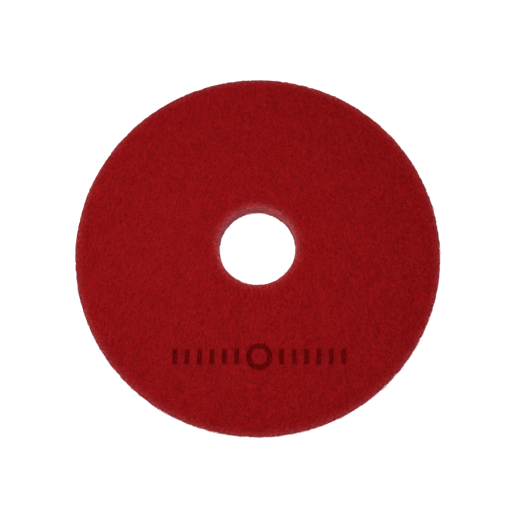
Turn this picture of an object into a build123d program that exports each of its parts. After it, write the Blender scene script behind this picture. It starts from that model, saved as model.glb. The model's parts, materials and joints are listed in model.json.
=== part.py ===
from build123d import *
import os

# Round non-woven floor buffing pad: two coated faces bonded to a lofty fibre core, with a centre hole.
# The pad lies flat on its lower face. +Z is the spin axis, and the origin is the centre of the lower face.

# Driving dimensions, mm
INCH = 25.4
PAD_DIAMETER = 15 * INCH
HOLE_DIAMETER = 3.25 * INCH
PAD_THICKNESS = 1 * INCH
COAT_DEPTH = 6.0  # how far the sprayed resin and mineral coat reaches into the web from each face
RIM_ROUND = 1.5  # rounding that the cutting die leaves on the outer rim of each face

# Heights of the layers
core_bottom = COAT_DEPTH
core_top = PAD_THICKNESS - COAT_DEPTH

os.makedirs("parts", exist_ok=True)


def ring_profile():
    """Sketch the outline that the cutting die gives to every layer: a disc with a centre hole."""
    Circle(PAD_DIAMETER / 2)
    Circle(HOLE_DIAMETER / 2, mode=Mode.SUBTRACT)


# Lower face: the resin-rich layer that rests on the floor
with BuildPart() as lower_face_layer:
    with BuildSketch(Plane.XY):
        ring_profile()
    extrude(amount=COAT_DEPTH)
    floor_rims = lower_face_layer.edges().filter_by(GeomType.CIRCLE).group_by(Axis.Z)[0]
    fillet(floor_rims.sort_by(SortBy.RADIUS)[-1], radius=RIM_ROUND)
lower_face_layer.part.label = "lower_face_layer"
export_step(lower_face_layer.part, "parts/lower_face_layer.step")

# Core: open crimped fibre with only the first thin bond on it
with BuildPart() as fibre_core:
    with BuildSketch(Plane.XY.offset(core_bottom)):
        ring_profile()
    extrude(amount=core_top - core_bottom)
fibre_core.part.label = "fibre_core"
export_step(fibre_core.part, "parts/fibre_core.step")

# Upper face: the resin-rich layer that the pad driver's bristles grip
with BuildPart() as upper_face_layer:
    with BuildSketch(Plane.XY.offset(core_top)):
        ring_profile()
    extrude(amount=COAT_DEPTH)
    driver_rims = upper_face_layer.edges().filter_by(GeomType.CIRCLE).group_by(Axis.Z)[-1]
    fillet(driver_rims.sort_by(SortBy.RADIUS)[-1], radius=RIM_ROUND)
upper_face_layer.part.label = "upper_face_layer"
export_step(upper_face_layer.part, "parts/upper_face_layer.step")
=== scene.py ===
import json
import logging
import math
from dataclasses import dataclass
from enum import Enum
from functools import partial, reduce
from itertools import product

import bpy
import numpy as np
from mathutils import Matrix, Vector


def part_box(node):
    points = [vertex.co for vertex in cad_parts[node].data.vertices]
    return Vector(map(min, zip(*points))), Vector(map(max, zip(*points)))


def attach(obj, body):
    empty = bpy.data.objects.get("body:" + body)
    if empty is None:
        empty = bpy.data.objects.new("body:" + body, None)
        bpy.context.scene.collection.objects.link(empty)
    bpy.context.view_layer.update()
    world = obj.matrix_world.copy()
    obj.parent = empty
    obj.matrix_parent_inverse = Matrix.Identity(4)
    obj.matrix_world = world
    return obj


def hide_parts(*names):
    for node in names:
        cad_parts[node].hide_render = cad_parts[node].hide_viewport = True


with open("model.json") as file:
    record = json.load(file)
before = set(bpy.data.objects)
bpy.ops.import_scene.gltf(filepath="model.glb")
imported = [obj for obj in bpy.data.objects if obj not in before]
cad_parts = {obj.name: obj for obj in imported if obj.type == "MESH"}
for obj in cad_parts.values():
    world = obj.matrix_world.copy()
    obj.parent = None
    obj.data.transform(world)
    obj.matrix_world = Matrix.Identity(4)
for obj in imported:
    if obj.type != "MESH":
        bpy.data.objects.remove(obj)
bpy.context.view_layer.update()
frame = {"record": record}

log = logging.getLogger("floor_pad")

MM = 0.001
FULL_TURN = 2 * math.pi
GOLDEN_TURN = FULL_TURN * (3 - math.sqrt(5)) / 2
BODY = "root"
TONE = "strand_tone"
FIRST_SEED = 21

Colour = tuple[float, float, float]
Place = tuple[float, float, float]
Span = tuple[float, float]
Socket = bpy.types.NodeSocket
Value = Socket | float


class Face(Enum):
    """The two working faces of the reversible pad, each with the way that it looks."""

    UPPER = 1.0
    LOWER = -1.0


class Cut(Enum):
    """The two die-cut walls, each with the way that it looks along the radius."""

    RIM = 1.0
    HOLE = -1.0


class Lay(Enum):
    """The ways that strands lie on the pad."""

    FACE = "flat over a working face"
    WALL = "along a cut wall"
    END = "standing out of a cut wall"


@dataclass(frozen=True)
class PadForm:
    """Sizes of the whole pad, in metres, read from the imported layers."""

    rim_radius: float
    hole_radius: float
    floor_z: float
    lower_joint: float
    upper_joint: float
    top_z: float
    rim_round: float = 1.0 * MM
    hole_round: float = 2.0 * MM

    @classmethod
    def from_frame(cls) -> "PadForm":
        """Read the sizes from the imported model, with the little that the springy rim stands out of it.

        Returns:
            The pad's radii and the heights where its layers meet.
        """
        low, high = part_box("fibre_core")
        spring = 0.5 * MM
        mounts = {mount["name"]: mount for mount in frame["record"]["mounts"]}
        return cls(
            rim_radius=(high.x - low.x) / 2 + spring,
            hole_radius=mounts["centre_hole"]["dims"]["r_mm"] * MM,
            floor_z=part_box("lower_face_layer")[0].z,
            lower_joint=low.z,
            upper_joint=high.z,
            top_z=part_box("upper_face_layer")[1].z,
        )

    @property
    def coat_depth(self) -> float:
        """Depth that the sprayed coat reaches from each face."""
        return self.top_z - self.upper_joint

    def wall_radius(self, cut: Cut) -> float:
        """Nominal radius of one cut wall."""
        return self.rim_radius if cut is Cut.RIM else self.hole_radius

    def edge_round(self, cut: Cut) -> float:
        """Radius of the rounded edges of one cut wall."""
        return self.rim_round if cut is Cut.RIM else self.hole_round

    def face_fall(self, radius: np.ndarray) -> np.ndarray:
        """Fall of a working face towards the nearest rounded edge, at each distance from the axis."""
        rim = self.fall(self.rim_radius - radius, self.rim_round)
        return np.maximum(rim, self.fall(radius - self.hole_radius, self.hole_round))

    def wall_fall(self, cut: Cut, height: np.ndarray) -> np.ndarray:
        """Fall of a cut wall towards the nearest rounded edge, at each height."""
        inset = np.minimum(height - self.floor_z, self.top_z - height)
        return self.fall(inset, self.edge_round(cut))

    @staticmethod
    def fall(inset: np.ndarray, bend: float) -> np.ndarray:
        """Fall of an edge rounded to the radius bend, at each distance inside the sharp edge."""
        short = np.clip(bend - inset, 0.0, bend)
        return bend - np.sqrt(bend**2 - short**2)


def span(low: float, high: float) -> Span:
    """Turn two sizes in millimetres to metres."""
    return low * MM, high * MM


def polar(radius: np.ndarray | float, turn: np.ndarray, height: np.ndarray) -> np.ndarray:
    """Points at the given distances from the pad's axis, angles and heights."""
    return np.stack([radius * np.cos(turn), radius * np.sin(turn), height], axis=-1)


class WebNoise:
    """Smooth random field that gives the web its loft. It is seeded, so each run is the same."""

    SIDE = 48

    def __init__(self, seed: int) -> None:
        """Fill the lattice with the seed's random values."""
        self.lattice = np.random.default_rng(seed).uniform(-1.0, 1.0, (self.SIDE,) * 3)

    def at(self, points: np.ndarray, cell: float) -> np.ndarray:
        """Read the field.

        Args:
            points: Positions, in metres, with their three coordinates on the last axis.
            cell: Size of one lattice cell, in metres.

        Returns:
            One value from -1 to 1 for each position.
        """
        scaled = points / cell
        base = np.floor(scaled).astype(int)
        share = scaled - base
        share = share * share * (3 - 2 * share)
        total = np.zeros(points.shape[:-1])
        for corner in product((0, 1), repeat=3):
            index = (base + corner) % self.SIDE
            weight = np.prod(np.where(corner, share, 1 - share), axis=-1)
            total += weight * self.lattice[index[..., 0], index[..., 1], index[..., 2]]
        return total


@dataclass(frozen=True)
class WebRelief:
    """How far the web's skin lies under its nominal surface, and how its outline wanders.

    Pits are closer together in height, because the web is carded in thin plies, and drawn out along the
    carding. The shifts read each field at a place of its own, so that the fields don't copy one another.
    """

    noise: WebNoise
    under: float = 0.9 * MM
    swell: float = 0.2 * MM
    swell_cell: float = 15.0 * MM
    pit: float = 1.9 * MM
    pit_cell: float = 2.1 * MM
    pit_shape: float = 1.3
    pit_shift: float = 0.3
    fine: float = 0.4 * MM
    fine_cell: float = 1.3 * MM
    fine_shift: float = 0.7
    ply: float = 2.2
    carding: float = 0.65
    out_of_round: float = 0.4 * MM
    wander_cell: float = 0.55
    wander_shift: float = 3.0
    wall_under: float = 0.1 * MM

    def depth(self, points: np.ndarray, flat: float) -> np.ndarray:
        """Depth of the skin at nominal points.

        Args:
            points: Nominal positions on the pad's surface, in metres.
            flat: 1 on a working face, 0 on a cut wall.

        Returns:
            Depth under the nominal surface, never negative, in metres.
        """
        plied = points * [1.0, self.carding, self.ply]
        pits = np.clip(self.noise.at(plied + self.pit_shift, self.pit_cell), 0, 1) ** self.pit_shape
        fine = 0.5 + 0.5 * self.noise.at(plied + self.fine_shift, self.fine_cell)
        under = self.wall_under + (self.under - self.wall_under) * flat
        return under + self.hollow(points) + self.pit * pits + self.fine * fine

    def hollow(self, points: np.ndarray) -> np.ndarray:
        """Depth of the broad hollows alone, which the strands follow."""
        return self.swell * (0.5 + 0.5 * self.noise.at(points, self.swell_cell))

    def wander(self, angles: np.ndarray) -> np.ndarray:
        """Radial wandering of the cut outline at each angle round the pad."""
        ring = polar(1.0, angles, np.zeros_like(angles))
        return self.out_of_round * self.noise.at(ring + self.wander_shift, self.wander_cell)


def mesh_object(name: str, points: np.ndarray, corners: np.ndarray, smooth: bool = True) -> bpy.types.Object:
    """Make an object from points and equal-sided faces.

    Args:
        name: Name of the piece.
        points: Vertex positions, in metres.
        corners: Vertex indices, one row for each face.
        smooth: Whether the faces are shaded smooth.

    Returns:
        The new object, linked to the scene.
    """
    faces, sides = corners.shape
    mesh = bpy.data.meshes.new(name)
    mesh.vertices.add(len(points))
    mesh.vertices.foreach_set("co", points.astype(np.float32).ravel())
    mesh.loops.add(faces * sides)
    mesh.loops.foreach_set("vertex_index", corners.astype(np.int32).ravel())
    mesh.polygons.add(faces)
    mesh.polygons.foreach_set("loop_start", np.arange(0, faces * sides, sides, dtype=np.int32))
    mesh.polygons.foreach_set("use_smooth", np.full(faces, smooth))
    mesh.update(calc_edges=True)
    mesh.validate()
    piece = bpy.data.objects.new(name, mesh)
    bpy.context.scene.collection.objects.link(piece)
    return piece


@dataclass(frozen=True)
class Ring:
    """One closed line of points round the pad's axis, and the way that the skin looks there."""

    radius: float
    height: float
    spacing: float
    outward: float
    upward: float
    pitted: bool = True

    @property
    def count(self) -> int:
        """Number of points on the ring."""
        return round(FULL_TURN * self.radius / self.spacing)

    def shifts(self) -> np.random.Generator:
        """Random source keyed by the ring's place to 0.01 mm, so that layers that share a ring meet."""
        return np.random.default_rng([round(self.radius / MM * 100), round(self.height / MM * 100)])


@dataclass(frozen=True)
class WebLayer:
    """One bonded layer of the pad: a closed ring of web with a pitted skin where it shows."""

    form: PadForm
    relief: WebRelief
    name: str
    node: str
    bottom: float
    top: float
    shown: Face | None = None
    spacing: float = 1.2 * MM
    hidden_spacing: float = 9.0 * MM
    edge_steps: int = 3
    jitter: float = 0.25
    fill: float = 0.9

    @property
    def slot(self) -> str:
        """Material slot that the layer takes its finish from."""
        return "core_fibre" if self.shown is None else "coated_face"

    def rings(self) -> list[Ring]:
        """List the rings of the layer's closed section, from the hole's foot up, across and back.

        Returns:
            The rings in order; the last one joins the first.
        """
        rings = self.wall(Cut.HOLE)
        rings += self.cover(Face.UPPER, self.top)
        rings += self.wall(Cut.RIM)[::-1]
        rings += self.cover(Face.LOWER, self.bottom)[::-1]
        return rings

    def wall(self, cut: Cut) -> list[Ring]:
        """List the rings of one cut wall, upwards.

        Args:
            cut: The wall.

        Returns:
            The wall's rings, with both of its ends.
        """
        radius, bend = self.form.wall_radius(cut), self.form.edge_round(cut)
        low = self.bottom + (bend if self.shown is Face.LOWER else 0.0)
        high = self.top - (bend if self.shown is Face.UPPER else 0.0)
        steps = round((high - low) / self.spacing)
        return [Ring(radius, z, self.spacing, cut.value, 0.0) for z in np.linspace(low, high, steps + 1)]

    def cover(self, face: Face, height: float) -> list[Ring]:
        """List the rings of one flat side between its walls, outwards.

        Args:
            face: The way that the side looks.
            height: Height of the side.

        Returns:
            The side's rings; a working face also has rounded edges.
        """
        form = self.form
        if face is not self.shown:
            steps = round((form.rim_radius - form.hole_radius) / self.hidden_spacing)
            radii = np.linspace(form.hole_radius, form.rim_radius, steps + 1)[1:-1]
            return [Ring(r, height, self.hidden_spacing, 0.0, face.value, pitted=False) for r in radii]
        inner, outer = form.hole_radius + form.hole_round, form.rim_radius - form.rim_round
        radii = np.linspace(inner, outer, round((outer - inner) / self.spacing) + 1)
        flat = [Ring(r, height, self.spacing, 0.0, face.value) for r in radii]
        return self.edge(height, face, Cut.HOLE) + flat + self.edge(height, face, Cut.RIM)

    def edge(self, height: float, face: Face, cut: Cut) -> list[Ring]:
        """List the rings of one rounded edge, outwards.

        Args:
            height: Height of the working face.
            face: The working face.
            cut: The wall that the edge leads to.

        Returns:
            The edge's rings without its two ends.
        """
        bend = self.form.edge_round(cut)
        centre = self.form.wall_radius(cut) - cut.value * bend
        turns = np.linspace(0.0, math.pi / 2, self.edge_steps + 2)[1:-1]
        rings = []
        for turn in turns if cut is Cut.HOLE else turns[::-1]:
            outward, upward = cut.value * math.cos(turn), face.value * math.sin(turn)
            place = height - face.value * bend + bend * upward
            rings.append(Ring(centre + bend * outward, place, self.spacing, outward, upward))
        return rings

    def build(self) -> bpy.types.Object:
        """Build the layer's closed mesh in place of its CAD node, which it hides.

        Returns:
            The layer's object.
        """
        rings = self.rings()
        turns, points = [], []
        for ring in rings:
            rng = ring.shifts()
            stations = np.arange(ring.count) + rng.uniform(-self.jitter, self.jitter, ring.count)
            turns.append(stations * FULL_TURN / ring.count)
            points.append(self.place(ring, turns[-1], rng))
        starts = np.cumsum([0] + [ring.count for ring in rings])
        faces = []
        for here in range(len(rings)):
            there = (here + 1) % len(rings)
            faces.append(self.stitch(turns[here], turns[there], starts[here], starts[there]))
        piece = mesh_object(self.name, np.concatenate(points), np.concatenate(faces))
        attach(piece, BODY)
        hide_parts(self.node)
        self.slot
        return piece

    def place(self, ring: Ring, turns: np.ndarray, rng: np.random.Generator) -> np.ndarray:
        """Place a ring's points on the pitted skin.

        Args:
            ring: The ring.
            turns: Angle of each of its points.
            rng: Source of the small shifts that hide the rings' regular spacing.

        Returns:
            The points, in metres.
        """
        on_face = abs(ring.upward) == 1.0
        shift = rng.uniform(-self.jitter, self.jitter, len(turns)) * self.spacing * on_face
        radius = ring.radius + self.relief.wander(turns) + shift
        height = np.full(len(turns), ring.height)
        if ring.pitted:
            depth = self.relief.depth(polar(radius, turns, height), flat=abs(ring.upward))
            radius = radius - depth * ring.outward
            height = height - depth * ring.upward
        return polar(radius, turns, height)

    @staticmethod
    def stitch(here: np.ndarray, there: np.ndarray, start: int, next_start: int) -> np.ndarray:
        """Join two rings with one closed band of triangles.

        Args:
            here: Angles of the first ring's points.
            there: Angles of the second ring's points.
            start: Index of the first ring's first point.
            next_start: Index of the second ring's first point.

        Returns:
            Vertex indices of the band's triangles.
        """
        middle = here + np.diff(here, append=here[0] + FULL_TURN) / 2
        next_middle = there + np.diff(there, append=there[0] + FULL_TURN) / 2
        own, other = np.arange(len(here)), np.arange(len(there))
        partner = np.searchsorted(next_middle, middle) % len(there)
        next_partner = np.searchsorted(middle, next_middle) % len(here)
        own_next, other_next = (own + 1) % len(here), (other + 1) % len(there)
        leading = np.stack([start + own, start + own_next, next_start + partner], axis=1)
        trailing = np.stack([next_start + other_next, next_start + other, start + next_partner], axis=1)
        return np.concatenate([leading, trailing])


@dataclass(frozen=True)
class Spin:
    """How one family of crimped strands is spun, in metres and radians."""

    count: int
    length: Span
    girth: Span
    rise: Span
    step: float = 1.0 * MM
    crimp: float = 0.5 * MM
    pitch: Span = (2.6 * MM, 4.4 * MM)
    bend: float = 22.0
    sink: float = 1.3 * MM


@dataclass(frozen=True)
class StrandLines:
    """Centre lines of many strands, padded to one length, with the point count and radius of each."""

    points: np.ndarray
    counts: np.ndarray
    radii: np.ndarray

    def chosen(self, rows: np.ndarray) -> "StrandLines":
        """Only some of the strands, chosen by number or by a mask."""
        return StrandLines(self.points[rows], self.counts[rows], self.radii[rows])


@dataclass(frozen=True)
class StrandTubes:
    """Turns centre lines into closed three-sided tubes, shared out round the pad to a few pieces."""

    name: str
    pieces: int
    sides: int = 3
    tip: float = 0.45
    steep: float = 0.8

    def build(self, lines: StrandLines) -> list[bpy.types.Object]:
        """Build the pieces.

        Args:
            lines: The strands' centre lines.

        Returns:
            The new objects, riding on the pad, each with every strand's own tone on its points.
        """
        order = np.argsort(np.arctan2(lines.points[:, 0, 1], lines.points[:, 0, 0]))
        pieces = []
        for number, rows in enumerate(np.array_split(order, self.pieces), start=1):
            points, corners, owner = self.tubes(lines.chosen(rows))
            piece = mesh_object(f"{self.name}_{number}", points, corners, smooth=False)
            tones = np.random.default_rng(number).uniform(0, 1, len(rows))
            layer = piece.data.attributes.new(TONE, "FLOAT", "POINT")
            layer.data.foreach_set("value", tones[owner].astype(np.float32))
            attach(piece, BODY)
            pieces.append(piece)
        return pieces

    def tubes(self, lines: StrandLines) -> tuple[np.ndarray, np.ndarray, np.ndarray]:
        """Sweep a small triangle along each line.

        Args:
            lines: The strands' centre lines.

        Returns:
            Vertex positions, triangles, and the strand that each vertex belongs to.
        """
        strands, longest, _ = lines.points.shape
        along = np.gradient(lines.points, axis=1)
        along /= np.linalg.norm(along, axis=2, keepdims=True)
        side = self.carried_side(along)
        other = np.cross(along, side)
        place, last = np.arange(longest)[None, :], lines.counts[:, None] - 1
        slim = np.where((place == 0) | (place == last), self.tip, 1.0)
        girth = (lines.radii[:, None] * slim)[:, :, None, None]
        angles = np.arange(self.sides)[:, None] * FULL_TURN / self.sides
        spokes = np.cos(angles) * side[:, :, None, :] + np.sin(angles) * other[:, :, None, :]
        points = (lines.points[:, :, None, :] + girth * spokes).reshape(-1, 3)
        index = np.arange(len(points)).reshape(strands, longest, self.sides)
        corners = np.concatenate([self.bands(index, place, last), self.caps(index, lines.counts)])
        used = np.zeros(len(points), bool)
        used[corners] = True
        owner = np.repeat(np.arange(strands), longest * self.sides)
        return points[used], (np.cumsum(used) - 1)[corners], owner[used]

    @staticmethod
    def bands(index: np.ndarray, place: np.ndarray, last: np.ndarray) -> np.ndarray:
        """List the side triangles of every tube.

        Args:
            index: Vertex numbers by strand, point and side.
            place: Point numbers along a strand.
            last: Number of each strand's last point.

        Returns:
            Vertex indices of the side triangles.
        """
        real = place[:, :-1] < last
        near, far = index[:, :-1][real], index[:, 1:][real]
        near_next, far_next = np.roll(near, -1, axis=1), np.roll(far, -1, axis=1)
        first = np.stack([near, near_next, far], axis=-1).reshape(-1, 3)
        second = np.stack([near_next, far_next, far], axis=-1).reshape(-1, 3)
        return np.concatenate([first, second])

    @staticmethod
    def caps(index: np.ndarray, counts: np.ndarray) -> np.ndarray:
        """List the triangles that close both ends of every tube, given its number of points."""
        return np.concatenate([index[:, 0, ::-1], index[np.arange(len(counts)), counts - 1]])

    def carried_side(self, along: np.ndarray) -> np.ndarray:
        """Carry one sideways direction along each strand without twisting it.

        Args:
            along: Unit direction of each strand at each point.

        Returns:
            A unit vector across the strand at each point.
        """
        steep = np.abs(along[:, 0, 2:3]) > self.steep
        current = np.cross(along[:, 0], np.where(steep, [[1.0, 0.0, 0.0]], [[0.0, 0.0, 1.0]]))
        side = np.zeros_like(along)
        for place in range(along.shape[1]):
            current = current - (current * along[:, place]).sum(1, keepdims=True) * along[:, place]
            current /= np.linalg.norm(current, axis=1, keepdims=True)
            side[:, place] = current
        return side


@dataclass
class StrandPlot:
    """Plots the centre lines of one family of crimped strands, which dive in and out of the web.

    Angles are in radians, and a bend is an angle per metre. Values drawn for a strand come as a column.
    """

    form: PadForm
    relief: WebRelief
    spin: Spin
    seed: int
    lay_angle: float = math.pi / 2
    lay_spread: float = 0.5
    combed: float = 0.8
    sway: float = 0.5
    sway_run: float = 9 * MM
    wall_slope: float = 0.28
    wall_bend: float = 12.0
    end_lean: float = 0.75
    end_bend: float = 90.0
    end_rise: float = 0.22
    crimp_sizes: Span = (0.4, 1.3)
    lift_share: float = 0.5
    lift_pitch: float = 1.3
    margin: float = 0.3 * MM
    fewest: int = 4

    def __post_init__(self) -> None:
        """Start the random source, which every plot draws from in the same order."""
        self.rng = np.random.default_rng(self.seed)

    def even(self, low: float, high: float) -> np.ndarray:
        """Draw a value between two limits for each strand."""
        return self.rng.uniform(low, high, (self.spin.count, 1))

    def normal(self, spread: float) -> np.ndarray:
        """Draw a normally spread value for each strand."""
        return self.rng.normal(0, spread, (self.spin.count, 1))

    @property
    def wall_limits(self) -> Span:
        """Lowest and highest place for a strand on a cut wall."""
        return self.form.floor_z + self.margin, self.form.top_z - self.margin

    def face_lines(self, face: Face) -> StrandLines:
        """Lay strands over a working face, more of them along the carding than across it.

        Args:
            face: The face that they lie on.

        Returns:
            Their centre lines.
        """
        count, rim, hole = self.spin.count, self.form.rim_radius, self.form.hole_radius
        number = np.arange(count)[:, None]
        filled = (number + self.even(0, 1)) / count
        start = np.sqrt(hole**2 + (rim**2 - hole**2) * filled)
        turn = number * GOLDEN_TURN
        distance, share, real = self.stations()
        across, lift = self.crimps(distance)
        free = self.even(0, FULL_TURN)
        carded = self.lay_angle + self.normal(self.lay_spread)
        heading = np.where(self.even(0, 1) < self.combed, carded, free)
        heading = heading + self.normal(self.spin.bend) * (distance - distance.mean())
        heading = heading + self.sway * np.sin(distance / self.sway_run + turn)
        east, north = self.walk(heading)
        x = start * np.cos(turn) + east - across * np.sin(heading)
        y = start * np.sin(turn) + north + across * np.cos(heading)
        level = self.form.top_z if face is Face.UPPER else self.form.floor_z
        spots = np.stack([x, y, np.full_like(x, level)], axis=-1)
        over = self.dive(share) + lift - self.relief.hollow(spots)
        over = over if face is Face.UPPER else np.minimum(over, -self.spin.girth[1])
        radius = np.hypot(x, y) - self.relief.wander(np.arctan2(y, x))
        height = level + face.value * (over - self.form.face_fall(radius))
        outside = (radius > rim - self.margin) | (radius < hole + self.margin) | ~real
        return self.kept(np.stack([x, y, height], axis=-1), outside)

    def wall_lines(self, cut: Cut) -> StrandLines:
        """Lay strands along a cut wall.

        Args:
            cut: The wall that they lie on.

        Returns:
            Their centre lines.
        """
        low, high = self.wall_limits
        distance, share, real = self.stations()
        across, lift = self.crimps(distance)
        slope = self.normal(self.wall_slope) + self.normal(self.wall_bend) * distance
        way = self.rng.choice([-1.0, 1.0], (self.spin.count, 1))
        along, climb = self.walk(slope)
        turn = self.even(0, FULL_TURN) + way * along / self.form.wall_radius(cut)
        height = self.even(low, high) + climb + across
        over = self.dive(share) + lift - self.form.wall_fall(cut, height)
        return self.kept(self.round_axis(cut, turn, over, height), (height < low) | (height > high) | ~real)

    def end_lines(self, cut: Cut) -> StrandLines:
        """Let short cut ends stand out of a cut wall; their rise is how far they stand proud.

        Args:
            cut: The wall that they stand out of.

        Returns:
            Their centre lines.
        """
        low, high = self.wall_limits
        distance, _, real = self.stations()
        turn = self.even(0, FULL_TURN)
        height = self.even(low, high)
        proud = self.even(*self.spin.rise)
        reach, drift = self.walk(self.normal(self.end_lean) + self.normal(self.end_bend) * distance)
        longest = np.where(real, reach, -np.inf).max(axis=1, keepdims=True)
        height = np.clip(height + self.normal(self.end_rise) * drift, low, high)
        over = reach - longest + proud - self.form.wall_fall(cut, height)
        turn = turn + drift / self.form.wall_radius(cut)
        return self.kept(self.round_axis(cut, turn, over, height), ~real)

    def round_axis(self, cut: Cut, turn: np.ndarray, over: np.ndarray, height: np.ndarray) -> np.ndarray:
        """Place points by their angle round the pad, their distance out of a wall and their height."""
        return polar(self.form.wall_radius(cut) + self.relief.wander(turn) + cut.value * over, turn, height)

    def walk(self, heading: np.ndarray) -> tuple[np.ndarray, np.ndarray]:
        """Add up the steps of every strand, ahead and to the side."""
        ahead, aside = np.cumsum(np.cos(heading), axis=1), np.cumsum(np.sin(heading), axis=1)
        return ahead * self.spin.step, aside * self.spin.step

    def stations(self) -> tuple[np.ndarray, np.ndarray, np.ndarray]:
        """Share each strand's length out to points.

        Returns:
            Each point's distance from its strand's start, its share of the length, and whether it is real.
        """
        lengths = self.even(*self.spin.length)
        distance = np.arange(int(self.spin.length[1] / self.spin.step) + 1)[None, :] * self.spin.step
        return distance, np.minimum(distance / lengths, 1.0), distance <= lengths

    def crimps(self, distance: np.ndarray) -> tuple[np.ndarray, np.ndarray]:
        """Crimp the strands.

        Args:
            distance: Distance of each point from its strand's start.

        Returns:
            Offsets of each point across its strand and away from the web.
        """
        pitch = self.even(*self.spin.pitch)
        phase = self.rng.uniform(0, FULL_TURN, (2, self.spin.count, 1))
        size = self.even(*self.crimp_sizes) * self.spin.crimp
        across = size * np.sin(FULL_TURN * distance / pitch + phase[0])
        lift = self.lift_share * size * np.sin(FULL_TURN * distance / (self.lift_pitch * pitch) + phase[1])
        return across, lift

    def dive(self, share: np.ndarray) -> np.ndarray:
        """Bow each strand over the surface, so that both of its ends dive into the web."""
        bow = np.abs(2 * share - 1) ** 3
        return self.even(*self.spin.rise) * (1 - bow) - self.spin.sink * bow

    def kept(self, points: np.ndarray, outside: np.ndarray) -> StrandLines:
        """Cut each strand where it first leaves the pad, and drop those that are left too short.

        Args:
            points: Padded centre lines.
            outside: Whether each point is outside the pad or past its strand's end.

        Returns:
            The centre lines that are left.
        """
        counts = np.where(outside.any(axis=1), outside.argmax(axis=1), outside.shape[1])
        radii = self.rng.uniform(*self.spin.girth, self.spin.count)
        return StrandLines(points, counts, radii).chosen(counts >= self.fewest)


@dataclass(frozen=True)
class StrandFamily:
    """One family of strands: where it lies, how it is spun and how many pieces it is shared out to."""

    name: str
    lay: Lay
    side: Face | Cut
    spin: Spin
    pieces: int = 1

    @property
    def slot(self) -> str:
        """Material slot that the family takes its finish from."""
        return "coated_face" if self.lay is Lay.FACE else "core_fibre"

    def build(self, form: PadForm, relief: WebRelief, seed: int) -> list[bpy.types.Object]:
        """Spin the family and build its pieces.

        Args:
            form: The pad's sizes.
            relief: The skin that the strands lie on.
            seed: Seed of the family's random source.

        Returns:
            The new objects.
        """
        plot = StrandPlot(form, relief, self.spin, seed)
        plots = {Lay.FACE: plot.face_lines, Lay.WALL: plot.wall_lines, Lay.END: plot.end_lines}
        pieces = StrandTubes(self.name, self.pieces).build(plots[self.lay](self.side))
        for piece in pieces:
            self.slot
        return pieces


class NodeBench:
    """Adds and joins the nodes of one tree."""

    def __init__(self, tree: bpy.types.NodeTree) -> None:
        """Take the tree to work in."""
        self.tree = tree

    def add(self, kind: str, **settings: object) -> bpy.types.Node:
        """Add a node.

        Args:
            kind: Its Blender type.
            settings: Properties to set on it.

        Returns:
            The new node.
        """
        node = self.tree.nodes.new(kind)
        for name, value in settings.items():
            setattr(node, name, value)
        return node

    def feed(self, socket: Socket, value: Value | Colour) -> None:
        """Give an input a link or a constant.

        Args:
            socket: The input.
            value: An output to link, or a constant.
        """
        if isinstance(value, Socket):
            self.tree.links.new(value, socket)
        elif socket.type == "RGBA":
            socket.default_value = (*value, 1.0)
        else:
            socket.default_value = value

    def wire(self, node: bpy.types.Node, values: dict[str | int, Value | Colour]) -> bpy.types.Node:
        """Give a node's inputs their links and constants.

        Args:
            node: The node.
            values: What each input gets, by the input's name or number.

        Returns:
            The same node.
        """
        for name, value in values.items():
            self.feed(node.inputs[name], value)
        return node

    def maths(self, operation: str, *values: Value) -> Socket:
        """Work out values with a Math node."""
        node = self.add("ShaderNodeMath", operation=operation)
        return self.wire(node, dict(enumerate(values))).outputs[0]

    def product(self, *values: Value) -> Socket:
        """Multiply two or more values."""
        return reduce(partial(self.maths, "MULTIPLY"), values)

    def diagonal(self, x: Socket, y: Socket) -> Socket:
        """Length of the diagonal over two sides."""
        return self.maths("SQRT", self.maths("ADD", self.product(x, x), self.product(y, y)))

    def vector(self, operation: str, first: Value | Colour, second: Value | Colour) -> Socket:
        """Work out vectors with a Vector Math node; the second value of a SCALE is a number."""
        node = self.add("ShaderNodeVectorMath", operation=operation)
        return self.wire(node, {0: first, "Scale" if operation == "SCALE" else 1: second}).outputs["Vector"]

    def ramp(self, value: Value, limits: tuple[Value, Value], results: tuple[Value, Value]) -> Socket:
        """Map a value between two limits smoothly to two results."""
        node = self.add("ShaderNodeMapRange", interpolation_type="SMOOTHSTEP")
        return self.wire(node, dict(enumerate((value, *limits, *results)))).outputs["Result"]

    def noise(self, place: Socket, cell: float, detail: float = 2.0, output: str = "Fac") -> Socket:
        """Read a noise with cells of a size and finer octaves, from one of its outputs."""
        values = {"Vector": place, "Scale": 1 / cell, "Detail": detail}
        return self.wire(self.add("ShaderNodeTexNoise"), values).outputs[output]

    def scatter(self, place: Socket, cell: float, detail: float = 2.0) -> Socket:
        """Read a noise that lies evenly about 0."""
        return self.maths("SUBTRACT", self.noise(place, cell, detail), 0.5)

    def split(self, vector: Socket) -> list[Socket]:
        """Split a vector into its three parts."""
        return list(self.wire(self.add("ShaderNodeSeparateXYZ"), {0: vector}).outputs)

    def blend(self, share: Value, first: Value | Colour, second: Value | Colour) -> Socket:
        """Add a colour Mix node.

        Args:
            share: How much of the second colour.
            first: The first colour.
            second: The second colour.

        Returns:
            Its colour.
        """
        node = self.add("ShaderNodeMix", data_type="RGBA")
        colours = [socket for socket in node.inputs if socket.type == "RGBA"]
        self.feed(node.inputs["Factor"], share)
        self.feed(colours[0], first)
        self.feed(colours[1], second)
        return next(socket for socket in node.outputs if socket.type == "RGBA")

    def group(self, tree: bpy.types.NodeTree, **values: Value) -> Socket:
        """Place a node group; spaces in the names of its inputs are written as underscores."""
        named = {name.replace("_", " "): value for name, value in values.items()}
        return self.wire(self.add("ShaderNodeGroup", node_tree=tree), named).outputs[0]


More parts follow.
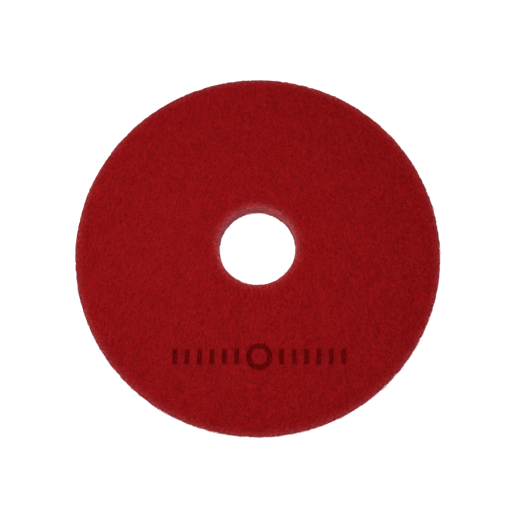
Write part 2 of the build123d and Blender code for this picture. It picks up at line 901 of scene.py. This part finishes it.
class Effect:
    """Base of the shared shader node groups, each with a Vector, named sizes and one output."""

    name: str
    output: str
    sizes: dict[str, float]

    def __init__(self) -> None:
        """Open the group and put its inputs on the bench."""
        self.tree = bpy.data.node_groups.new(self.name, "ShaderNodeTree")
        self.tree.interface.new_socket("Vector", in_out="INPUT", socket_type="NodeSocketVector")
        for name, size in self.sizes.items():
            given = self.tree.interface.new_socket(name, in_out="INPUT", socket_type="NodeSocketFloat")
            given.default_value = size
        self.tree.interface.new_socket(self.output, in_out="OUTPUT", socket_type="NodeSocketFloat")
        self.bench = NodeBench(self.tree)
        self.given = self.bench.add("NodeGroupInput").outputs

    def make(self) -> bpy.types.NodeTree:
        """Draw the effect and join it to the output of the group."""
        self.bench.feed(self.bench.add("NodeGroupOutput").inputs[0], self.draw())
        return self.tree

    def draw(self) -> Socket:
        """Draw the nodes of the effect, and return what the group puts out."""
        raise NotImplementedError


class FibreBed(Effect):
    """Fine fibres that lie one over another in the web's plane: 1 on a fibre, 0 in a gap."""

    name = "Fibre bed"
    output = "Strand"
    sizes = {"Width": 0.55 * MM, "Run": 4.5 * MM, "Sway": 4 * MM}
    turns = (0.4, 1.15, 1.62, 2.25)
    sway_cell = 10.5 * MM
    ridge = 0.11
    apart = 40.0

    def draw(self) -> Socket:
        """Draw warped ridges in four directions and keep the highest.

        Returns:
            How much of a fibre is there.
        """
        bench, given = self.bench, self.given
        swirl = bench.noise(given["Vector"], self.sway_cell, 0.0, "Color")
        swirl = bench.vector("SUBTRACT", swirl, (0.5, 0.5, 0.5))
        bent = bench.vector("ADD", given["Vector"], bench.vector("SCALE", swirl, given["Sway"]))
        along, across = (bench.maths("DIVIDE", 1.0, given[name]) for name in ("Run", "Width"))
        stretch = bench.wire(bench.add("ShaderNodeCombineXYZ"), {0: along, 1: across, 2: across}).outputs[0]
        strand: Value = 0.0
        for turn in self.turns:
            turned = bench.add("ShaderNodeVectorRotate", rotation_type="Z_AXIS")
            bench.wire(turned, {"Vector": bent, "Angle": turn})
            drawn = bench.vector("MULTIPLY", turned.outputs[0], stretch)
            drawn = bench.vector("ADD", drawn, (0.0, 0.0, self.apart * turn))
            off = bench.maths("ABSOLUTE", bench.scatter(drawn, 1.0, 0.0))
            strand = bench.maths("MAXIMUM", strand, bench.ramp(off, (0.0, self.ridge), (1.0, 0.0)))
        return strand


class CoatReach(Effect):
    """Sprayed coat: 1 on both faces, thinning out ragged into the web."""

    name = "Coat reach"
    output = "Coat"
    sizes = {"Floor": 0.0, "Top": 25.4 * MM, "Reach": 6 * MM, "Ragged": 5 * MM}
    cell = 4.8 * MM
    fade = (0.35, 1.45)

    def draw(self) -> Socket:
        """Draw the depth under the nearest face.

        Returns:
            How much of the coat is there.
        """
        bench, given = self.bench, self.given
        height = bench.split(given["Vector"])[2]
        under = bench.maths("SUBTRACT", given["Top"], height)
        depth = bench.maths("MINIMUM", under, bench.maths("SUBTRACT", height, given["Floor"]))
        ragged = bench.product(bench.scatter(given["Vector"], self.cell), given["Ragged"])
        limits = tuple(bench.product(given["Reach"], share) for share in self.fade)
        return bench.ramp(bench.maths("ADD", depth, ragged), limits, (1.0, 0.0))


class CutNearness(Effect):
    """Nearness of the die cuts: 1 on a cut wall, falling evenly to 0 inside it. It places the bare core of
    the cut walls and the painted bounce light just inside them.
    """

    name = "Cut nearness"
    output = "Near"
    sizes = {"Rim": 190.5 * MM, "Hole": 41.3 * MM, "Reach": 12 * MM, "Ragged": 11 * MM}
    cell = 2.4 * MM

    def draw(self) -> Socket:
        """Draw the inset from the nearest cut.

        Returns:
            The nearness.
        """
        bench, given = self.bench, self.given
        x, y, _ = bench.split(given["Vector"])
        radius = bench.diagonal(x, y)
        inner = bench.maths("SUBTRACT", radius, given["Hole"])
        inset = bench.maths("MINIMUM", bench.maths("SUBTRACT", given["Rim"], radius), inner)
        ragged = bench.product(bench.scatter(given["Vector"], self.cell), given["Ragged"])
        share = bench.maths("DIVIDE", bench.maths("ADD", inset, ragged), given["Reach"])
        near = bench.maths("SUBTRACT", 1.0, share)
        return bench.maths("MINIMUM", bench.maths("MAXIMUM", near, 0.0), 1.0)


class ClumpTone(Effect):
    """Patchy tone of a carded web, scattered evenly about 1, where fibre and resin lie thicker in clumps."""

    name = "Clump tone"
    output = "Tone"
    sizes = {"Contrast": 0.5, "Cloud Share": 0.12}
    clump_cell = 1.6 * MM
    cloud_cell = 26 * MM

    def draw(self) -> Socket:
        """Draw small clumps and broad clouds.

        Returns:
            The tone.
        """
        bench, given = self.bench, self.given
        clump = bench.scatter(given["Vector"], self.clump_cell)
        cloud = bench.product(bench.scatter(given["Vector"], self.cloud_cell, 1.0), given["Cloud Share"])
        both = bench.maths("ADD", clump, cloud)
        return bench.maths("ADD", 1.0, bench.product(both, 2.0, given["Contrast"]))


class InkMark(Effect):
    """Plain stamped mark: a ring between two rows of upright bars, worn thin where the fibres lie low."""

    name = "Ink mark"
    output = "Ink"
    sizes = {
        "Centre X": 2 * MM,
        "Centre Y": -114 * MM,
        "Low Z": 22 * MM,
        "Ring": 10.5 * MM,
        "Stroke": 5.5 * MM,
        "Reach": 87 * MM,
        "Pitch": 12.4 * MM,
        "Bar Width": 5 * MM,
        "Bar Height": 15 * MM,
    }
    soft = 0.6 * MM
    wear_cell = 1.9 * MM
    wear = (0.26, 0.46)

    def draw(self) -> Socket:
        """Draw the ring and the bars, and wear them.

        Returns:
            1 on the mark.
        """
        bench, given = self.bench, self.given
        x, y, z = bench.split(given["Vector"])
        across = bench.maths("ABSOLUTE", bench.maths("SUBTRACT", x, given["Centre X"]))
        along = bench.maths("SUBTRACT", y, given["Centre Y"])
        beside = bench.maths("SUBTRACT", bench.diagonal(across, along), given["Ring"])
        place = bench.maths("SUBTRACT", given["Reach"], across)
        half_bar = bench.product(given["Bar Width"], 0.5)
        off = bench.maths("SUBTRACT", bench.maths("MODULO", place, given["Pitch"]), half_bar)
        bars = bench.product(
            self.stroke(off, given["Bar Width"]),
            self.stroke(along, given["Bar Height"]),
            bench.maths("GREATER_THAN", across, bench.maths("ADD", given["Ring"], given["Stroke"])),
            bench.maths("GREATER_THAN", place, 0.0),
        )
        mark = bench.maths("MAXIMUM", self.stroke(beside, given["Stroke"]), bars)
        worn = bench.ramp(bench.noise(given["Vector"], self.wear_cell), self.wear, (0.0, 1.0))
        return bench.product(mark, worn, bench.maths("GREATER_THAN", z, given["Low Z"]))

    def stroke(self, off: Socket, width: Socket) -> Socket:
        """Ink a soft-edged stroke of a width, by the distance off its middle."""
        past = self.bench.maths("MULTIPLY_ADD", width, -0.5, self.bench.maths("ABSOLUTE", off))
        return self.bench.ramp(past, (-self.soft, self.soft), (1.0, 0.0))


@dataclass(frozen=True)
class WebEffects:
    """The shader node groups that the pad's finishes share."""

    bed: bpy.types.NodeTree
    coat: bpy.types.NodeTree
    near: bpy.types.NodeTree
    clump: bpy.types.NodeTree
    ink: bpy.types.NodeTree

    @classmethod
    def make(cls) -> "WebEffects":
        """Build each group once."""
        return cls(*(effect().make() for effect in (FibreBed, CoatReach, CutNearness, ClumpTone, InkMark)))


@dataclass(frozen=True)
class FibreFinish:
    """Dye, coat and lustre of crimped fibre, with painted shade and painted bounce light in its tone. The
    base is a matted skin of fibres too fine to build.
    """

    name: str
    coated: Colour = (0.278, 0.0005, 0.0018)
    bare: Colour = (0.380, 0.067, 0.080)
    ink: Colour = (0.080, 0.0002, 0.0004)
    ink_share: float = 0.9
    # Painted bounce light: the face is made paler close inside the cuts.
    painted_bounce_pale: float = 0.42
    cut_falloff: float = 3.0
    wall_bare: float = 0.40
    wall_falloff: float = 10.0
    # Painted bounce light: the tone is lifted close inside the cuts.
    painted_bounce_lift: float = 0.09
    contrast: float = 0.32
    # Tone at the lowest and highest fibre level. On the web skin this is painted shade: darkest in the gaps
    # between its fine fibres, and kept well under the strands' tone for the shade in the web's depths.
    low_tone_and_gap_shade: float = 0.31
    light: float = 0.8
    pale: float = 0.08
    dull: float = 0.85
    lustre: float = 0.55
    gloss: Span = (0.3, 1.3)
    specular: float = 0.03
    bump: float = 0.8
    bump_depth: float = 0.45 * MM

    def make(self, form: PadForm, effects: WebEffects) -> bpy.types.Material:
        """Build the material.

        Args:
            form: The pad's sizes.
            effects: The shared node groups.

        Returns:
            The new material.
        """
        material = bpy.data.materials.new(self.name)
        material.use_nodes = True
        bench = NodeBench(material.node_tree)
        place = bench.add("ShaderNodeTexCoord").outputs["Object"]
        level, height = self.levels(bench, place, effects)
        near = bench.group(effects.near, Vector=place, Rim=form.rim_radius, Hole=form.hole_radius)
        sizes = {"Floor": form.floor_z, "Top": form.top_z, "Reach": form.coat_depth}
        # The coat thins on the cut walls, where the core is bare, and close inside the cuts as painted
        # bounce light.
        coat = bench.product(
            bench.group(effects.coat, Vector=place, **sizes),
            bench.maths("SUBTRACT", 1.0, self.bared_and_bounce_paled(bench, near)),
            bench.ramp(level, (0.0, 1.0), (1.0, 1.0 - self.pale)),
        )
        tone = bench.product(
            bench.group(effects.clump, Vector=place, Contrast=self.contrast),
            # Tone by fibre level; on the web skin this paints shade into the gaps between its fine fibres.
            bench.ramp(level, (0.0, 1.0), (self.low_tone_and_gap_shade, self.light)),
            # Painted bounce light near the cuts.
            bench.maths("ADD", 1.0, bench.product(near, self.painted_bounce_lift)),
        )
        dyed = bench.vector("SCALE", bench.blend(coat, self.bare, self.coated), tone)
        ink = bench.group(effects.ink, Vector=place, Low_Z=form.top_z - form.coat_depth / 2)
        relief = {"Height": height, "Distance": self.bump_depth, "Strength": self.bump}
        surface = {
            "Base Color": bench.blend(bench.product(ink, self.ink_share), dyed, self.ink),
            "Roughness": bench.ramp(bench.product(tone, coat), self.gloss, (self.dull, self.lustre)),
            "Specular IOR Level": self.specular,
            "Normal": bench.wire(bench.add("ShaderNodeBump"), relief).outputs[0],
        }
        bench.wire(material.node_tree.nodes["Principled BSDF"], surface)
        return material

    def bared_and_bounce_paled(self, bench: NodeBench, near: Socket) -> Socket:
        """Find how much of the coat is taken off near the die cuts: the cut walls show the bare core, and
        close inside the cuts the face is made paler as painted bounce light.

        Args:
            bench: Bench of the material's tree.
            near: Nearness of the cuts.

        Returns:
            The bare share.
        """
        # Painted bounce light: a paler band close inside each cut.
        inside = bench.product(bench.maths("POWER", near, self.cut_falloff), self.painted_bounce_pale)
        # The bare core of the cut walls.
        on_wall = bench.product(bench.maths("POWER", near, self.wall_falloff), self.wall_bare)
        return bench.maths("ADD", inside, on_wall)

    def levels(self, bench: NodeBench, place: Socket, effects: WebEffects) -> tuple[Socket, Socket]:
        """Find how high the fibre lies, from 0 to 1, and the height for the bump."""
        level = bench.group(effects.bed, Vector=place)
        return level, level


@dataclass(frozen=True)
class StrandFinish(FibreFinish):
    """The same dye on single strands, each with its own tone and a rough crust of resin."""

    low_tone_and_gap_shade: float = 0.85
    light: float = 1.25
    bump: float = 0.3
    own_share: float = 0.4
    crust_cell: float = 1.2 * MM
    crust_limits: Span = (0.3, 0.7)

    def levels(self, bench: NodeBench, place: Socket, effects: WebEffects) -> tuple[Socket, Socket]:
        """Take the strand's own tone and a grainy crust as its level, and the crust as its height.

        Args:
            bench: Bench of the material's tree.
            place: Position on the object.
            effects: The shared node groups.

        Returns:
            The level, from 0 to 1, and the height for the bump.
        """
        own = bench.add("ShaderNodeAttribute", attribute_name=TONE).outputs["Fac"]
        crust = bench.ramp(bench.noise(place, self.crust_cell), self.crust_limits, (0.0, 1.0))
        rest = bench.product(crust, 1.0 - self.own_share)
        return bench.maths("ADD", bench.product(own, self.own_share), rest), crust


@dataclass(frozen=True)
class Studio:
    """Floor, light and camera round the pad. Lengths are in metres and angles in degrees."""

    form: PadForm
    camera_tilt: float = 11.07
    camera_turn: float = 2.4
    camera_distance: float = 0.4833
    camera_lens: float = 32.25
    camera_near: float = 0.01
    aim_x: float = 2.84 * MM
    aim_y: float = -15.83 * MM
    floor_side: float = 30.0
    floor_tone: float = 0.5
    floor_glow: float = 0.62
    sky_strength: float = 1.0
    key_power: float = 1.9
    key_side: float = 0.25
    key_place: Place = (-0.055, -0.02, 0.46)
    white: Colour = (1.0, 1.0, 1.0)

    def build(self) -> None:
        """Set up the floor, the lights, the camera and the display."""
        self.lay_floor()
        self.hang_lights()
        self.place_camera()
        settings = bpy.context.scene.view_settings
        settings.view_transform = "Standard"
        settings.look = "None"

    def lay_floor(self) -> None:
        """Lay the plain pale floor."""
        square = np.array([[-0.5, -0.5, 0.0], [0.5, -0.5, 0.0], [0.5, 0.5, 0.0], [-0.5, 0.5, 0.0]])
        floor = mesh_object("studio_floor", self.floor_side * square, np.array([[0, 1, 2, 3]]), smooth=False)
        paper = bpy.data.materials.new("pale_paper")
        paper.use_nodes = True
        surface = {
            "Base Color": (self.floor_tone, self.floor_tone, self.floor_tone),
            "Roughness": 1.0,
            "Specular IOR Level": 0.0,
            "Emission Color": self.white,
            "Emission Strength": self.floor_glow,
        }
        NodeBench(paper.node_tree).wire(paper.node_tree.nodes["Principled BSDF"], surface)
        floor.data.materials.append(paper)

    def hang_lights(self) -> None:
        """Hang one large soft key light in an even white surround."""
        world = bpy.data.worlds.new("white_surround")
        world.use_nodes = True
        surround = {"Color": self.white, "Strength": self.sky_strength}
        NodeBench(world.node_tree).wire(world.node_tree.nodes["Background"], surround)
        bpy.context.scene.world = world
        lamp = bpy.data.lights.new("key_softbox", "AREA")
        lamp.shape = "SQUARE"
        lamp.size = self.key_side
        lamp.energy = self.key_power
        key = bpy.data.objects.new("key_softbox", lamp)
        key.location = self.key_place
        key.rotation_euler = (-key.location).to_track_quat("-Z", "Y").to_euler()
        key.visible_camera = False
        bpy.context.scene.collection.objects.link(key)

    def place_camera(self) -> None:
        """Look down on the pad from a little to the near side of its axis."""
        tilt, turn = math.radians(self.camera_tilt), math.radians(self.camera_turn)
        back = Vector((math.sin(tilt) * math.sin(turn), -math.sin(tilt) * math.cos(turn), math.cos(tilt)))
        place = Vector((self.aim_x, self.aim_y, self.form.top_z)) + back * self.camera_distance
        right = Vector((0.0, 1.0, 0.0)).cross(back).normalized()
        camera = bpy.data.objects.new("camera", bpy.data.cameras.new("camera"))
        camera.data.lens = self.camera_lens
        camera.data.clip_start = self.camera_near
        looking = Matrix((right, back.cross(right), back)).transposed().to_4x4()
        camera.matrix_world = Matrix.Translation(place) @ looking
        bpy.context.scene.collection.objects.link(camera)
        bpy.context.scene.camera = camera


def web_layers(form: PadForm, relief: WebRelief) -> tuple[WebLayer, ...]:
    """List the pad's three bonded layers, upwards.

    Args:
        form: The pad's sizes.
        relief: The pits of their skin.

    Returns:
        The layers.
    """
    layer = partial(WebLayer, form, relief)
    return (
        layer("lower_face_web", "lower_face_layer", form.floor_z, form.lower_joint, Face.LOWER),
        layer("fibre_core_web", "fibre_core", form.lower_joint, form.upper_joint),
        layer("upper_face_web", "upper_face_layer", form.upper_joint, form.top_z, Face.UPPER),
    )


def strand_families() -> tuple[StrandFamily, ...]:
    """List the families of strands that lie on the layers.

    Returns:
        The families.
    """
    face = partial(Spin, length=span(6, 18), girth=span(0.10, 0.17))
    wall = partial(Spin, length=span(6, 18), girth=span(0.10, 0.18))
    tuft = partial(Spin, length=span(3, 5), girth=span(0.10, 0.17), step=0.9 * MM)
    stray = partial(Spin, length=span(5, 11), girth=span(0.08, 0.13), step=0.8 * MM)
    return (
        StrandFamily(
            "upper_face_strands", Lay.FACE, Face.UPPER, face(15500, rise=span(-1.25, 0.3)), pieces=9
        ),
        StrandFamily("lower_face_strands", Lay.FACE, Face.LOWER, face(3600, rise=span(-1.2, 0)), pieces=3),
        StrandFamily("rim_strands", Lay.WALL, Cut.RIM, wall(3900, rise=span(-0.8, 0.5)), pieces=2),
        StrandFamily("hole_strands", Lay.WALL, Cut.HOLE, wall(1050, rise=span(-0.9, 0.2))),
        StrandFamily("rim_tufts", Lay.END, Cut.RIM, tuft(5000, rise=span(-0.3, 0.7))),
        StrandFamily("hole_tufts", Lay.END, Cut.HOLE, tuft(1300, rise=span(-0.4, 0.4))),
        StrandFamily("rim_strays", Lay.END, Cut.RIM, stray(420, rise=span(0.4, 1.5))),
    )


def dress(piece: bpy.types.Object, finish: bpy.types.Material) -> None:
    """Give a piece its finish and report it."""
    piece.data.materials.append(finish)
    log.info("%s: %d faces, %s", piece.name, len(piece.data.polygons), finish.name)


def main() -> None:
    """Build the pad's layers and strands and its studio."""
    logging.basicConfig(level=logging.INFO, format="%(name)s: %(message)s")
    form = PadForm.from_frame()
    relief = WebRelief(WebNoise(seed=5))
    effects = WebEffects.make()
    web = {
        "coated_face": FibreFinish("coated_web").make(form, effects),
        "core_fibre": FibreFinish("core_web", bump_depth=0.6 * MM).make(form, effects),
    }
    strand = {
        "coated_face": StrandFinish("coated_strand").make(form, effects),
        "core_fibre": StrandFinish("cut_strand", lustre=0.65).make(form, effects),
    }
    for layer in web_layers(form, relief):
        dress(layer.build(), web[layer.slot])
    for seed, family in enumerate(strand_families(), start=FIRST_SEED):
        for piece in family.build(form, relief, seed):
            dress(piece, strand[family.slot])
    Studio(form).build()


if __name__ == "__main__":
    main()
